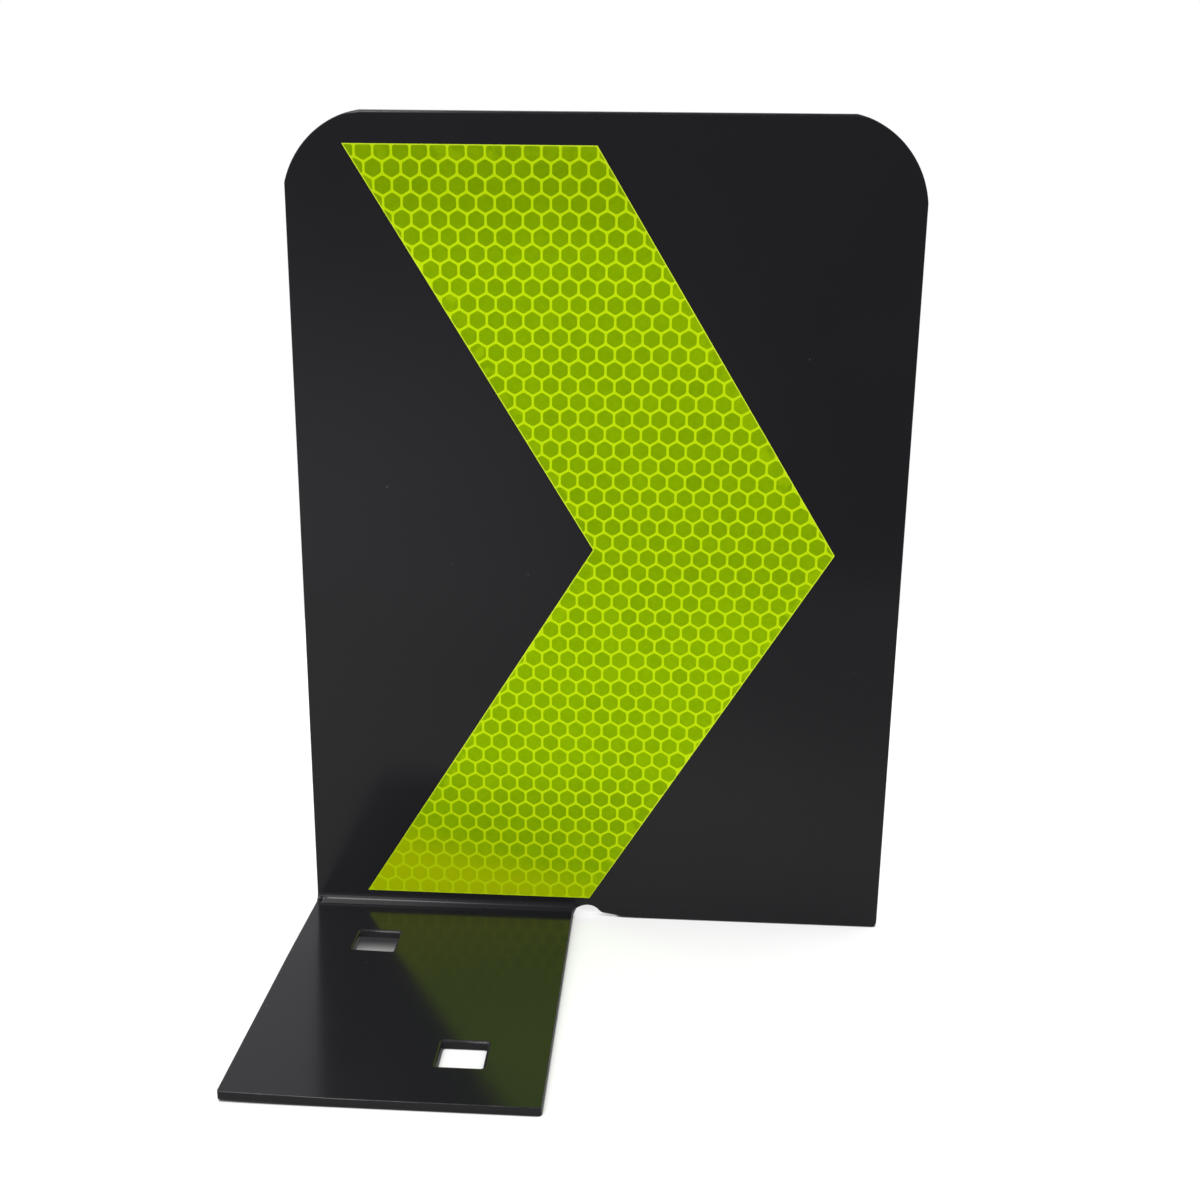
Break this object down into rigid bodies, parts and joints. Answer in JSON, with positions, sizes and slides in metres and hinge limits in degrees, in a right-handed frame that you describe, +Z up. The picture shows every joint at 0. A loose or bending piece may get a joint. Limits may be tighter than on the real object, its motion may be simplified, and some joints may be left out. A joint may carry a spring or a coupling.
{
  "type": "kerb delineator",
  "caption": "Kerb delineator: black painted steel plate folded into a tall round-cornered panel and a short foot with square bolt holes, with a reflective yellow-green chevron on its front.",
  "frame": {"origin": "on the ground, under the middle of the part's box", "axes": "+X along the panel, the way the chevron points; +Y from the foot's front edge towards the panel, away from the traffic; +Z up"},
  "size_m": [0.22, 0.13, 0.3],
  "materials": {
    "black_paint": "gloss",
    "clear_adhesive": "satin",
    "seal_film": "satin",
    "reflective_film": "gloss"
  },
  "bodies": {
    "root": {"bent_plate": "black_paint", "adhesive_layer": "clear_adhesive", "backing_film": "seal_film", "prism_film": "reflective_film"}
  },
  "joints": []
}
